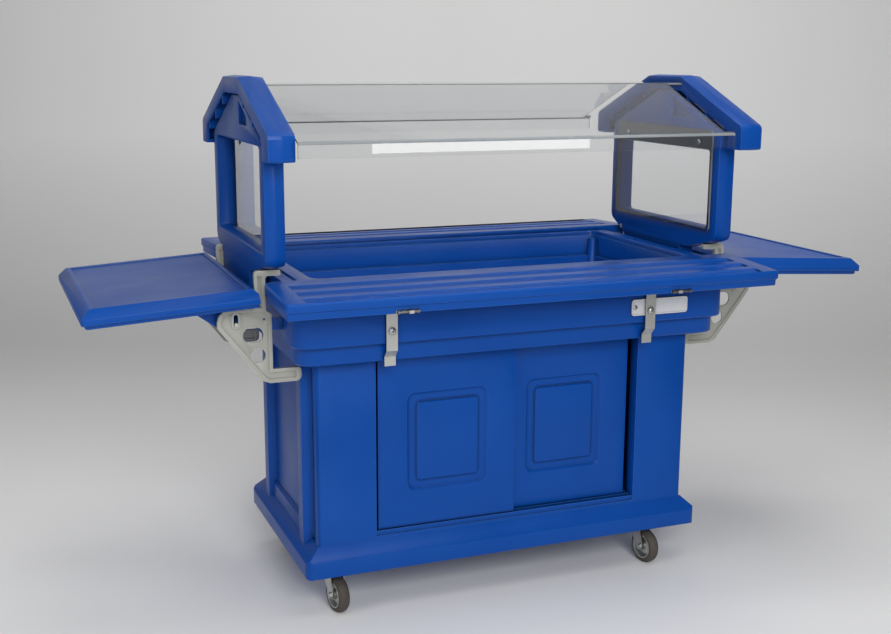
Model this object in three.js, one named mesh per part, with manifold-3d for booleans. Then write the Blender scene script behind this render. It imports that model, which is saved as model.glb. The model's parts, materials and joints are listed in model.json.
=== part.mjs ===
// Mobile salad bar: moulded cart with a cold well, a clear canopy on two end frames,
// folding tray rails and end tables, sliding doors and swivel casters.
// Millimetres, +Z up, floor at z = 0, front faces -Y, length runs along X.
import * as THREE from "three";
import { mergeVertices } from "three/addons/utils/BufferGeometryUtils.js";
import Module from "manifold-3d";

const wasm = await Module();
wasm.setup();

// ---------------------------------------------------------------- clearances
const touchGap = 0.3;
const slideGap = 2;
const swingGap = 3;
const cutOver = 5;

// ---------------------------------------------------------------- base and body
const floorGap = 120;
const plinthWall = 45;
const plinthSlopeRise = 37;
const plinthFlareX = 39;
const plinthFlareY = 28;
const plinthRound = 6;
const plinthCorner = 25;
const wellEndDeck = 74;
const bodyHalfY = 297;
const bodyHeight = 506;
const bodyCorner = 14;
const bodyWall = 20;
const pilasterWidth = 162;
const sillRise = 8;
const endPanelHalf = 166;
const endPanelDepth = 2;
const endSillRise = 36;
const endSillProud = 8;
const endRibWidth = 42;
const endRibProud = 20;
const endRibSlope = 6;
const endGrooveWidth = 32;
const endGrooveDepth = 8;
const backPanelDepth = 8;
const baseFloor = 14;

// ---------------------------------------------------------------- counter and well
const lowerBandOver = 59;
const lowerBandOverEnd = 58;
const lowerBandHeight = 49;
const bandStep = 20;
const bandStepEnd = 15;
const upperBandHeight = 111;
const bandCorner = 46;
const lowerBandEdge = 4;
const upperBandEdge = 4;
const wellHalfX = 553;
const wellHalfY = 275;
const wellDepth = 133;
const wellCorner = 30;
const wellLedgeDrop = 27;
const wellLedgeWidth = 12;
const wellTopLedge = 8;
const wellTopLedgeDrop = 13;
const wellRibTop = 12;
const wellRibFoot = 26;
const rimRise = 50;
const rimStripWidth = 40;
const rimShelfDrop = 6;
const rimEndGap = 37;
const rimLongGap = 4;
const rimCorner = 10;
const drainRadius = 17;
const drainWall = 4;
const drainLength = 95;
const drainX = 430;
const drainCollar = 10;

// ---------------------------------------------------------------- doors and tracks
const doorLap = 8;
const doorLeftGap = 8;
const doorRightGap = 16;
const doorThick = 14;
const doorStepBack = 9;
const doorPitch = 20;
const embossHalfX = 118;
const embossHalfZ = 138;
const embossRing = 28;
const embossDepth = 7;
const embossCorner = 24;
const trackPlate = 3;
const trackRib = 3;
const trackHeight = 12;

// ---------------------------------------------------------------- tray rails
const railOverhangX = 59;
const railReach = 138;
const railInnerGap = 14;
const railOverDeck = 48;
const railUpper = 25;
const railLower = 17;
const railSetback = 4;
const railEdge = 4;
const railInnerCorner = 28;
const railOuterCorner = 7;
const railDroop = 3.2;
const backDroop = 2.3;
const backLift = 10;
const railGrooves = [159, 91, 26];
const grooveHalfWidth = 22;
const grooveDepth = 7;
const grooveEnd = 50;
const railAxisGap = 14;
const railAxisDrop = 54;

// ---------------------------------------------------------------- rail straps and arms
const strapX = 376;
const strapWidth = 30;
const strapThick = 3;
const strapStandoff = 5;
const strapBendDrop = 17;
const strapBendHeight = 18;
const strapLowGap = 8;
const strapFootDrop = 11;
const strapBoltRise = 35;
const boltShank = 4;
const boltHead = 10;
const boltHeadRise = 5;
const boltDepth = 24;
const hingeEye = 8;
const hingePin = 4;
const armWidth = 24;
const armThick = 6;
const armReach = 135;
const armBarReach = 104;
const crossRodRadius = 3.5;
const crossRodHalf = 28;
const crossRodHead = 5;
const crossRodShift = 7;
const railNotch = 10;
const railNotchDeep = 34;

// ---------------------------------------------------------------- end tables
const tableGap = 42;
const tableLength = 429;
const tableHalfY = 330;
const tableOverDeck = 39;
const tableBevel = 22;
const tableEdge = 14;
const tableLower = 11;
const tableSetback = 8;
const tableInnerCut = 10;
const tableCorner = 9;
const tableRim = 12;
const tableRecess = 3.5;
const tableDroop = 3.5;
const tableAxisReach = 92;
const tableAxisDrop = 99;
const hubHalfY = 226;
const hubReach = 123;
const hubNose = 33;
const tableRodRadius = 5;

// ---------------------------------------------------------------- cast brackets
const bracketY = 240;
const bracketThick = 14;
const bracketWeb = 5;
const bracketRim = 8;
const bracketStandoff = 26;
const bracketPostReach = 43;
const bracketPostWidth = 28;
const bracketReach = 139;
const bracketArmReach = 25;
const bracketArmRise = 17;
const bracketArmDeep = 14;
const bracketFootHeight = 36;
const bracketFootDrop = 24;
const bracketToeReach = 75;
const bracketPlateDrop = 22;
const bracketOuterRound = 30;
const bracketPadHalf = 5;
const bracketPadRise = 30;
const bracketPadHeight = 30;
const upperHole = { out: 48, drop: 70, halfX: 27, halfZ: 20 };
const lowerHole = { out: 35, drop: 124, radius: 19 };
const fixingHole = { out: 19, drop: 30, radius: 4 };
const slotHalf = 6;
const slotRun = 20;
const slotBoss = 5;

// ---------------------------------------------------------------- end frames, panes, caps
const frameThick = 51;
const frameRidge = 5;
const frameHalfY = 303;
const frameOverDeck = 57;
const frameFlatFront = 150;
const frameFlatBack = 228;
const frameFootRise = 37;
const frameFootCorner = 24;
const tongueDrop = 77;
const tongueGap = 3;
const tongueFront = 112;
const tongueBack = 225;
const windowHalfY = 259;
const windowSill = 65;
const headerLeft = 118;
const headerRight = 155;
const windowCorner = 12;
const gableDrop = 28;
const gableFlatHalf = 40;
const gableSlope = 0.43;
const postDrop = 10;
const postInset = 6;
const roofSlope = 0.406;
const gableHeight = 75;
const kingPostHalf = 35;
const gableRecess = 12;
const gableBorder = 14;
const gableRecessEnd = 127;
const capLap = 3;
const capThick = 66;
const capRise = 22;
const capFlatHalf = 92;
const capHalfY = 412;
const capHeight = 197;
const capBand = 45;
const capEndWidth = 70;
const capSkin = 8;
const capSide = 6;
const capRidge = 4;
const capCorner = 14;
const capRibs = [120, 220, 318];
const capRibThick = 8;
const paneThick = 5;
const paneLapY = 13;
const paneLap = 6;
const paneDrop = 104;

// ---------------------------------------------------------------- canopy
const canopyThick = 5;
const canopyTop = 1400;
const canopyRidgeHalf = 100;
const canopyOverCap = 9;
const canopyLip = 38;
const canopySlope = 0.397;
const canopyEndGap = 3;
const canopySlopeShort = 55;
const canopyLipShort = 28;
const canopyTab = 16;
const canopyBend = 8;

// ---------------------------------------------------------------- casters
const casterLeftInset = 91;
const casterRightInset = 143;
const casterInsetY = 89;
const casterTrail = 36;
const casterYaw = 9.5;
const wheelRadius = 50;
const wheelWidth = 32;
const tyreDepth = 12;
const wheelHub = 14;
const wheelBore = 6;
const forkSide = 3;
const forkTopWidth = 30;
const forkEyeRadius = 11;
const forkDisc = 26;
const forkDiscThick = 7;
const casterPlateX = 47;
const casterPlateY = 35;
const casterPlateThick = 4;
const casterRaceRadius = 24;
const axleRadius = 5;
const axleHead = 8;
const axleHeadThick = 5;

// ---------------------------------------------------------------- colours
const materials = {
  blue: new THREE.MeshStandardMaterial({ color: 0x1f4fa8, roughness: 0.45 }),
  clear: new THREE.MeshStandardMaterial({ color: 0xe8eef0, roughness: 0.05 }),
  cast: new THREE.MeshStandardMaterial({ color: 0xc8c8bc, roughness: 0.5 }),
  zinc: new THREE.MeshStandardMaterial({ color: 0xa8aaa6, roughness: 0.35, metalness: 0.9 }),
  tyre: new THREE.MeshStandardMaterial({ color: 0x4a443c, roughness: 0.8 }),
};
const group = new THREE.Group();
group.name = "mobile_salad_bar";

// ---------------------------------------------------------------- drawing helpers
const axisFrames = {
  x: new THREE.Matrix4().makeBasis(
    new THREE.Vector3(0, 1, 0), new THREE.Vector3(0, 0, 1), new THREE.Vector3(1, 0, 0)),
  y: new THREE.Matrix4().makeBasis(
    new THREE.Vector3(0, 0, 1), new THREE.Vector3(1, 0, 0), new THREE.Vector3(0, 1, 0)),
  z: new THREE.Matrix4(),
};

// A closed outline from [a, b, radius] corners.
function outline(corners, steps = 3) {
  const count = corners.length;
  const at = (index) => new THREE.Vector2(...corners[(index + count) % count].slice(0, 2));
  const points = [];
  corners.forEach(([a, b, radius = 0], index) => {
    const corner = new THREE.Vector2(a, b);
    if (radius === 0) {
      points.push(corner);
      return;
    }
    const before = at(index - 1).sub(corner).normalize();
    const after = at(index + 1).sub(corner).normalize();
    const half = Math.acos(THREE.MathUtils.clamp(before.dot(after), -1, 1)) / 2;
    const inward = before.clone().add(after).normalize();
    const centre = corner.clone().addScaledVector(inward, radius / Math.sin(half));
    const reach = radius / Math.tan(half);
    const start = corner.clone().addScaledVector(before, reach).sub(centre);
    const end = corner.clone().addScaledVector(after, reach).sub(centre);
    const sweep = Math.atan2(start.cross(end), start.dot(end));
    for (let step = 0; step <= steps; step += 1) {
      const turned = start.clone().rotateAround(new THREE.Vector2(), (sweep * step) / steps);
      points.push(turned.add(centre));
    }
  });
  return points;
}

function rectangle(a0, a1, b0, b1, radius = 0) {
  return [[a0, b0, radius], [a1, b0, radius], [a1, b1, radius], [a0, b1, radius]];
}

function toSolid(geometry) {
  geometry.deleteAttribute("normal");
  geometry.deleteAttribute("uv");
  const merged = mergeVertices(geometry, 1e-3);
  return new wasm.Manifold(new wasm.Mesh({
    numProp: 3,
    vertProperties: new Float32Array(merged.attributes.position.array),
    triVerts: new Uint32Array(merged.index.array),
  }));
}

// A prism along one axis. Outlines are (y, z) along x, (x, z) along y and (x, y) along z.
// "edge" trims the long edges, "ridge" swells the middle of the thickness.
function prism(corners, from, to, options = {}) {
  const { axis = "z", edge = 0, ridge = 0, steps = 3, edgeSteps = 1, holes = [] } = options;
  const lay = (list) => outline(list, steps).map((p) => (axis === "y" ? new THREE.Vector2(p.y, p.x) : p));
  const shape = new THREE.Shape(lay(corners));
  holes.forEach((hole) => shape.holes.push(new THREE.Path(lay(hole))));
  const length = to - from;
  const bevel = ridge > 0 ? length / 2 - touchGap / 2 : edge;
  const geometry = new THREE.ExtrudeGeometry(shape, {
    depth: length - 2 * bevel,
    bevelEnabled: bevel > 0,
    bevelThickness: bevel,
    bevelSize: ridge > 0 ? ridge : edge,
    bevelOffset: ridge > 0 ? 0 : -edge,
    bevelSegments: edgeSteps,
    steps: 1,
  });
  geometry.translate(0, 0, from + bevel);
  geometry.applyMatrix4(axisFrames[axis]);
  return toSolid(geometry);
}

function rod(radius, from, to, axis, a, b, segments = 12) {
  const ring = [];
  for (let index = 0; index < segments; index += 1) {
    const angle = (index * 2 * Math.PI) / segments;
    ring.push([a + radius * Math.cos(angle), b + radius * Math.sin(angle)]);
  }
  return prism(ring, from, to, { axis });
}

function lathe(profile, segments) {
  const points = [...profile, profile[0]].map(([radius, height]) => new THREE.Vector2(radius, height));
  const geometry = new THREE.LatheGeometry(points, segments);
  geometry.rotateX(Math.PI / 2);
  return toSolid(geometry);
}

function unite(solids) {
  return solids.reduce((sum, solid) => sum.add(solid));
}

// A nested group at a place, turned by degrees about x, y and z.
function addGroup(parent, position, degrees = [0, 0, 0]) {
  const nested = new THREE.Group();
  nested.position.set(...position);
  nested.rotation.set(...degrees.map((value) => THREE.MathUtils.degToRad(value)));
  parent.add(nested);
  return nested;
}

function addNode(name, solid, material, parent = group) {
  const mesh = solid.getMesh();
  const geometry = new THREE.BufferGeometry();
  geometry.setAttribute("position", new THREE.BufferAttribute(new Float32Array(mesh.vertProperties), 3));
  geometry.setIndex(new THREE.BufferAttribute(new Uint32Array(mesh.triVerts), 1));
  geometry.computeVertexNormals();
  const node = new THREE.Mesh(geometry, materials[material].clone());
  node.name = name;
  parent.add(node);
}

function mirrorX(solid) {
  return solid.mirror([1, 0, 0]);
}

function mirrorY(solid) {
  return solid.mirror([0, 1, 0]);
}

// ---------------------------------------------------------------- heights that follow
const plinthTop = floorGap + plinthWall;
const footZ = plinthTop + plinthSlopeRise;
const sillZ = footZ + sillRise;
const bodyTop = footZ + bodyHeight;
const lowerTop = bodyTop + lowerBandHeight;
const deckZ = lowerTop + upperBandHeight;
const wellFloor = deckZ - wellDepth;
const frameBottom = deckZ + frameOverDeck;
const tongueBottom = frameBottom - tongueDrop;
const windowBottom = frameBottom + windowSill;
const paneBottom = windowBottom - paneLap;
const gableTop = canopyTop - gableDrop;
const gableSill = gableTop - gableHeight;
const postTop = canopyTop - postDrop;
const windowTop = gableTop - headerLeft;
const windowTopRight = gableTop - headerRight;
const paneTop = gableTop - paneDrop;
const capTop = canopyTop + capRise;
const capBottom = capTop - capHeight;
const railTop = deckZ + railOverDeck;
const railAxisZ = railTop - railAxisDrop;
const tableTop = deckZ + tableOverDeck;
const tableAxisZ = tableTop - tableAxisDrop;
const bracketArmTop = frameBottom + bracketArmRise;
const bracketPlateTop = deckZ - bracketPlateDrop;
const bracketFootTop = bodyTop - bracketFootDrop;
const bracketFootZ = bracketFootTop - bracketFootHeight;
const strapBoltZ = lowerTop + strapBoltRise;
const strapBendTop = lowerTop - strapBendDrop;
const strapBendFoot = strapBendTop - strapBendHeight;
const strapFootZ = bodyTop - strapFootDrop;

// ---------------------------------------------------------------- widths that follow
const upperHalfX = wellHalfX + wellEndDeck;
const lowerHalfX = upperHalfX - bandStepEnd;
const bodyHalfX = lowerHalfX - lowerBandOverEnd;
const plinthHalfX = bodyHalfX + plinthFlareX;
const openingHalfX = bodyHalfX - pilasterWidth;
const doorWidth = openingHalfX + doorLap;
const casterLeftX = plinthHalfX - casterLeftInset;
const casterRightX = plinthHalfX - casterRightInset;
const railHalfX = upperHalfX + railOverhangX;
const bracketFlangeX = upperHalfX + bracketStandoff;
const bracketPostX = bracketFlangeX + bracketPostReach;
const bracketOuterX = bracketFlangeX + bracketReach;
const bracketArmTip = bracketFlangeX - bracketArmReach;
const bracketToeX = bracketFlangeX - bracketToeReach;
const tableInnerX = bracketFlangeX + tableGap;
const tableAxisX = bracketFlangeX + tableAxisReach;
const frameInnerX = upperHalfX;
const capInnerX = frameInnerX - capLap;

// ---------------------------------------------------------------- depths that follow
const plinthHalfY = bodyHalfY + plinthFlareY;
const casterY = plinthHalfY - casterInsetY;
const lowerHalfY = bodyHalfY + lowerBandOver;
const upperHalfY = lowerHalfY + bandStep;
const railInnerY = wellHalfY + railInnerGap;
const railAxisY = upperHalfY + railAxisGap;
const railOuterY = railAxisY + railReach;
const canopyHalfY = capHalfY + canopyOverCap;
const paneHalfY = windowHalfY + paneLapY;

// ---------------------------------------------------------------- cabinet
function bodyOutline() {
  const ribFoot = endPanelHalf;
  const ribStart = ribFoot + endRibSlope;
  const ribEnd = ribStart + endRibWidth;
  const grooveStart = ribEnd + endGrooveDepth;
  const grooveFinish = grooveStart + endGrooveWidth;
  const endWall = [
    [bodyHalfX - endPanelDepth, ribFoot],
    [bodyHalfX + endRibProud, ribStart],
    [bodyHalfX + endRibProud, ribEnd],
    [bodyHalfX - endGrooveDepth, grooveStart],
    [bodyHalfX - endGrooveDepth, grooveFinish],
    [bodyHalfX, grooveFinish + endGrooveDepth],
    [bodyHalfX, bodyHalfY, bodyCorner],
  ];
  const backPanel = [
    [openingHalfX + backPanelDepth, bodyHalfY],
    [openingHalfX, bodyHalfY - backPanelDepth],
  ];
  const right = [
    ...endWall.map(([x, y, r]) => [x, -y, r]).reverse(),
    ...endWall,
    ...backPanel,
  ];
  const left = right.map(([x, y, r]) => [-x, y, r]).reverse();
  return [...right, ...left];
}

function buildCabinet() {
  const slope = (half, foot) => [
    [-half, floorGap, plinthRound],
    [half, floorGap, plinthRound],
    [half, plinthTop],
    [foot, footZ],
    [-foot, footZ],
    [-half, plinthTop],
  ];
  const plinth = prism(slope(plinthHalfY, bodyHalfY), -plinthHalfX, plinthHalfX, { axis: "x" })
    .intersect(prism(slope(plinthHalfX, bodyHalfX), -plinthHalfY, plinthHalfY, { axis: "y" }))
    .intersect(prism(
      rectangle(-plinthHalfX, plinthHalfX, -plinthHalfY, plinthHalfY, plinthCorner),
      floorGap - cutOver, footZ + cutOver, { steps: 4 }));
  const walls = prism(bodyOutline(), plinthTop - cutOver, bodyTop - touchGap);
  const sillHalfX = bodyHalfX + endSillProud;
  const endSill = prism(
    rectangle(-sillHalfX, sillHalfX, -endPanelHalf - endRibSlope, endPanelHalf + endRibSlope),
    plinthTop, footZ + endSillRise, { edge: endSillProud });
  const room = prism(
    rectangle(-bodyHalfX + bodyWall + endPanelDepth, bodyHalfX - bodyWall - endPanelDepth,
      -bodyHalfY + bodyWall * 2, bodyHalfY - bodyWall, bodyCorner),
    sillZ, bodyTop + cutOver);
  const doorway = prism(
    rectangle(-openingHalfX, openingHalfX, -bodyHalfY - bodyWall, -bodyHalfY + bodyWall * 2 + cutOver),
    sillZ, bodyTop + cutOver);
  const pocket = (casterX) => prism(
    rectangle(bodyWall / 2, casterX - casterPlateX - bodyWall * 2,
      -bodyHalfY + bodyWall, bodyHalfY - bodyWall, plinthCorner),
    floorGap - cutOver, sillZ - baseFloor);
  return unite([plinth, walls, endSill])
    .subtract(unite([room, doorway, pocket(casterRightX), mirrorX(pocket(casterLeftX))]));
}
addNode("cabinet", buildCabinet(), "blue");

// ---------------------------------------------------------------- counter with the cold well
// The same shape at the four strap places, the back pair set higher.
function atStraps(solid) {
  const back = solid.translate([0, 0, backLift]);
  return unite([back, mirrorX(back), mirrorY(solid), mirrorX(mirrorY(solid))]);
}

function buildCounter() {
  const lowerBand = prism(
    rectangle(-lowerHalfX, lowerHalfX, -lowerHalfY, lowerHalfY, bandCorner),
    bodyTop, lowerTop + lowerBandEdge * 2, { edge: lowerBandEdge, steps: 4 });
  const upperBand = prism(
    rectangle(-upperHalfX, upperHalfX, -upperHalfY, upperHalfY, bandCorner),
    lowerTop, deckZ, { edge: upperBandEdge, steps: 4 });
  const rimOuter = upperHalfX - slideGap;
  const rimInner = wellHalfX - wellLedgeWidth;
  const rimHalfY = railInnerY - rimEndGap;
  const shelf = prism(
    rectangle(rimInner, rimOuter, -rimHalfY, rimHalfY),
    deckZ - cutOver, deckZ + rimRise - rimShelfDrop, { edge: slideGap });
  const ringHalfX = wellHalfX + rimStripWidth;
  const ringHalfY = railInnerY - rimLongGap;
  const ring = prism(
    rectangle(-ringHalfX, ringHalfX, -ringHalfY, ringHalfY, rimCorner),
    deckZ - cutOver, deckZ + rimRise, { edge: slideGap });
  const boss = rod(boltHead, upperHalfY - cutOver, upperHalfY + strapStandoff - touchGap, "y",
    strapX, strapBoltZ);
  const bosses = atStraps(boss);
  const padInnerX = upperHalfX - cutOver;
  const pad = prism(
    rectangle(padInnerX, bracketFlangeX - touchGap, bracketY - bracketPadHalf, bracketY + bracketPadHalf),
    lowerTop + bracketPadRise, lowerTop + bracketPadRise + bracketPadHeight);
  const pads = unite([pad, mirrorX(pad), mirrorY(pad), mirrorX(mirrorY(pad))]);
  const level = (inset, radius, from, to) => prism(
    rectangle(-wellHalfX + inset, wellHalfX - inset, -wellHalfY + inset, wellHalfY - inset, radius),
    from, to);
  const basinInset = wellTopLedge + wellLedgeWidth;
  const rimLedgeZ = deckZ + rimRise - wellTopLedgeDrop;
  const opening = level(0, wellCorner, rimLedgeZ, deckZ + rimRise + cutOver)
    .add(level(wellTopLedge, wellCorner - wellTopLedge, deckZ - wellLedgeDrop, rimLedgeZ + cutOver));
  const basin = level(basinInset, wellCorner - basinInset, wellFloor, deckZ);
  const ribTopZ = rimLedgeZ - wellTopLedge;
  const ribX = wellHalfX - basinInset;
  const ribY = wellHalfY - basinInset;
  const cornerRib = lathe([
    [0, wellFloor - cutOver],
    [wellRibFoot, wellFloor - cutOver],
    [wellRibTop, ribTopZ],
    [0, ribTopZ],
  ], 12).translate([ribX, ribY, 0]);
  const ribs = unite([cornerRib, mirrorX(cornerRib), mirrorY(cornerRib), mirrorX(mirrorY(cornerRib))]);
  const drainHole = rod(drainRadius + slideGap / 2, bodyTop - cutOver, wellFloor + cutOver, "z", drainX, 0);
  const bores = atStraps(rod(boltShank + touchGap, upperHalfY - boltDepth,
    upperHalfY + strapStandoff + cutOver, "y", strapX, strapBoltZ));
  return unite([lowerBand, upperBand, ring, shelf, mirrorX(shelf), bosses, pads])
    .subtract(unite([opening.add(basin).subtract(ribs), drainHole, bores]));
}
addNode("counter", buildCounter(), "blue");

// The drain: a collar in the well floor and a tube down into the cabinet.
const drain = lathe([
  [drainRadius - drainWall, wellFloor - drainLength],
  [drainRadius, wellFloor - drainLength],
  [drainRadius, wellFloor + touchGap],
  [drainRadius + drainCollar, wellFloor + touchGap],
  [drainRadius + drainCollar, wellFloor + drainWall],
  [drainRadius - drainWall, wellFloor + drainWall],
], 16);
addNode("drain_fitting", drain.translate([drainX, 0, 0]), "zinc");

// ---------------------------------------------------------------- sliding doors
const doorBottom = sillZ + trackPlate + slideGap;
const doorTop = bodyTop - trackPlate - slideGap - touchGap;
const frontDoorY = -bodyHalfY + doorStepBack;

function buildDoor(faceY, outerX) {
  const centreX = outerX + doorWidth / 2;
  const centreZ = (doorBottom + doorTop) / 2;
  const leaf = prism(
    rectangle(outerX, outerX + doorWidth, doorBottom, doorTop),
    faceY, faceY + doorThick, { axis: "y", edge: touchGap * 5 });
  const around = (inset) => rectangle(
    centreX - embossHalfX + inset, centreX + embossHalfX - inset,
    centreZ - embossHalfZ + inset, centreZ + embossHalfZ - inset, embossCorner - inset / 2);
  const ring = prism(around(0), faceY - embossDepth * 3, faceY + embossDepth,
    { axis: "y", edge: embossDepth });
  const centre = prism(around(embossRing), faceY, faceY + doorThick,
    { axis: "y", edge: embossDepth / 2 });
  return leaf.subtract(ring).add(centre);
}
addNode("door_left", buildDoor(frontDoorY, -openingHalfX + doorLeftGap), "blue");
addNode("door_right",
  buildDoor(frontDoorY + doorPitch, openingHalfX - doorRightGap - doorWidth), "blue");

function buildTrack(plateZ, direction) {
  const halfX = openingHalfX - touchGap;
  const frontY = frontDoorY - slideGap - trackRib;
  const gapY = doorPitch - doorThick;
  const ribs = [
    frontY,
    frontDoorY + doorThick + gapY / 2 - trackRib / 2,
    frontDoorY + doorPitch + doorThick + slideGap,
  ];
  const backY = ribs[2] + trackRib;
  const span = (a, b) => rectangle(-halfX, halfX, Math.min(a, b), Math.max(a, b));
  const plate = prism(span(plateZ, plateZ + direction * trackPlate), frontY, backY, { axis: "y" });
  const fins = ribs.map((y) => prism(
    span(plateZ, plateZ + direction * trackHeight), y, y + trackRib, { axis: "y" }));
  return unite([plate, ...fins]);
}
addNode("door_track_lower", buildTrack(sillZ + touchGap, 1), "blue");
addNode("door_track_upper", buildTrack(bodyTop - touchGap, -1), "blue");

// ---------------------------------------------------------------- tray rails
const railBottom = railTop - railUpper - railLower;

function buildRail() {
  const plan = (inset) => [
    [-railHalfX + inset, -railOuterY + inset, railOuterCorner],
    [railHalfX - inset, -railOuterY + inset, railOuterCorner],
    [railHalfX - inset, -railInnerY - inset, railInnerCorner],
    [-railHalfX + inset, -railInnerY - inset, railInnerCorner],
  ];
  const upper = prism(plan(0), railTop - railUpper, railTop, { edge: railEdge, steps: 4 });
  const lower = prism(plan(railSetback), railBottom, railTop - railUpper + railEdge * 2,
    { edge: railEdge / 2, steps: 4 });
  const grooveRadius = (grooveHalfWidth ** 2 + grooveDepth ** 2) / (2 * grooveDepth);
  const grooves = railGrooves.map((inset) => {
    const y = railOuterY - inset;
    const ring = [];
    const half = Math.asin(grooveHalfWidth / grooveRadius) * 1.25;
    const steps = 6;
    for (let step = 0; step <= steps; step += 1) {
      const angle = -half + (2 * half * step) / steps;
      ring.push([
        -y + grooveRadius * Math.sin(angle),
        railTop - grooveDepth + grooveRadius * (1 - Math.cos(angle)),
      ]);
    }
    return prism(ring, -railHalfX + grooveEnd, railHalfX - grooveEnd, { axis: "x" });
  });
  const notchX = strapX + crossRodShift;
  const notch = prism(
    rectangle(notchX - crossRodHalf - swingGap, notchX + crossRodHalf + swingGap,
      -railOuterY - cutOver, -railOuterY + railNotchDeep),
    railBottom - cutOver, railBottom + railNotch);
  return mirrorY(upper.add(lower).subtract(unite([...grooves, notch, mirrorX(notch)])));
}

// ---------------------------------------------------------------- straps, bolts, arms, cross rods
const strapFace = upperHalfY + strapStandoff;
const strapLowFace = lowerHalfY + strapLowGap;

function buildStrap() {
  const outerY = strapFace + strapThick;
  const lowOuterY = strapLowFace + strapThick;
  const band = prism([
    [outerY, railAxisZ],
    [outerY, strapBendTop],
    [lowOuterY, strapBendFoot],
    [lowOuterY, strapFootZ],
    [strapLowFace, strapFootZ],
    [strapLowFace, strapBendFoot + touchGap],
    [strapFace, strapBendTop + touchGap],
    [strapFace, railAxisZ],
  ], strapX - strapWidth / 2, strapX + strapWidth / 2, { axis: "x" });
  const eye = rod(hingeEye, strapX - strapWidth / 2, strapX + strapWidth / 2, "x",
    railAxisY, railAxisZ);
  const pinHole = rod(hingePin + touchGap, strapX - strapWidth, strapX + strapWidth, "x",
    railAxisY, railAxisZ);
  const middle = strapWidth / 6 + touchGap;
  const knuckleGap = prism(
    rectangle(strapFace - cutOver * 2, railAxisY + hingeEye + cutOver,
      railAxisZ - hingeEye - swingGap, railAxisZ + hingeEye + cutOver),
    strapX - middle, strapX + middle, { axis: "x" });
  const boltHole = rod(boltShank + touchGap, strapFace - cutOver, outerY + cutOver, "y",
    strapX, strapBoltZ);
  return band.add(eye).subtract(unite([pinHole, knuckleGap, boltHole]));
}

function buildBolt() {
  const outerY = strapFace + strapThick + touchGap;
  const shank = rod(boltShank, upperHalfY - boltDepth + touchGap, outerY + boltHeadRise / 2, "y",
    strapX, strapBoltZ, 12);
  const ring = [];
  const sides = 12;
  for (let index = 0; index < sides; index += 1) {
    const angle = (index * 2 * Math.PI) / sides;
    ring.push([strapX + boltHead * Math.cos(angle), strapBoltZ + boltHead * Math.sin(angle)]);
  }
  const head = prism(ring, outerY - boltHeadRise, outerY + boltHeadRise,
    { axis: "y", edge: boltHeadRise * 0.8, edgeSteps: 2 });
  const seat = prism(
    rectangle(strapX - boltHead * 2, strapX + boltHead * 2, strapBoltZ - boltHead * 2, strapBoltZ + boltHead * 2),
    outerY - boltHeadRise * 2, outerY, { axis: "y" });
  return shank.add(head.subtract(seat));
}

const crossRodY = railAxisY + armReach;
const crossRodZ = railBottom + crossRodRadius;

function buildArm() {
  const half = armWidth / 2;
  const middle = strapWidth / 6;
  const barTop = railBottom - touchGap;
  const bar = prism(
    rectangle(railAxisY + hingeEye / 2, railAxisY + armBarReach + swingGap, barTop - armThick, barTop),
    strapX - half, strapX + half, { axis: "x" });
  const clearTop = railAxisZ + hingeEye + swingGap / 3;
  const overKnuckles = prism(
    rectangle(railAxisY - hingeEye, railAxisY + hingeEye + swingGap, barTop - armThick * 2, clearTop),
    strapX + middle, strapX + half + cutOver, { axis: "x" });
  const overKnucklesLeft = prism(
    rectangle(railAxisY - hingeEye, railAxisY + hingeEye + swingGap, barTop - armThick * 2, clearTop),
    strapX - half - cutOver, strapX - middle, { axis: "x" });
  const barrel = rod(hingeEye, strapX - middle, strapX + middle, "x", railAxisY, railAxisZ);
  const pin = rod(hingePin, strapX - strapWidth / 2, strapX + strapWidth / 2, "x",
    railAxisY, railAxisZ, 12);
  const eye = prism(
    rectangle(railOuterY - railNotchDeep + slideGap, crossRodY + hingeEye * 0.75,
      barTop - armThick, barTop + railNotch - slideGap),
    strapX - half / 2, strapX + half / 2, { axis: "x" });
  const underEye = prism(
    rectangle(railAxisY + armBarReach + swingGap, crossRodY + hingeEye,
      barTop - armThick * 2, barTop + touchGap),
    strapX - half, strapX + half, { axis: "x" });
  const rodHole = rod(crossRodRadius + touchGap, strapX - half, strapX + half, "x",
    crossRodY, crossRodZ, 12);
  return unite([
    bar.subtract(overKnuckles).subtract(overKnucklesLeft),
    barrel,
    pin,
    eye.subtract(underEye),
  ]).subtract(rodHole);
}


function buildCrossRod() {
  const centre = strapX + crossRodShift;
  const shank = rod(crossRodRadius, centre - crossRodHalf, centre + crossRodHalf, "x",
    crossRodY, crossRodZ, 8);
  const head = rod(crossRodHead, centre + crossRodHalf - crossRodHead, centre + crossRodHalf, "x",
    crossRodY, crossRodZ, 8);
  return unite([shank, head, head.translate([crossRodHead - crossRodHalf * 2, 0, 0])]);
}

// ---------------------------------------------------------------- end tables
const tableBottom = tableTop - tableBevel - tableEdge - tableLower;
const tableOuterX = tableInnerX + tableLength;

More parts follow.
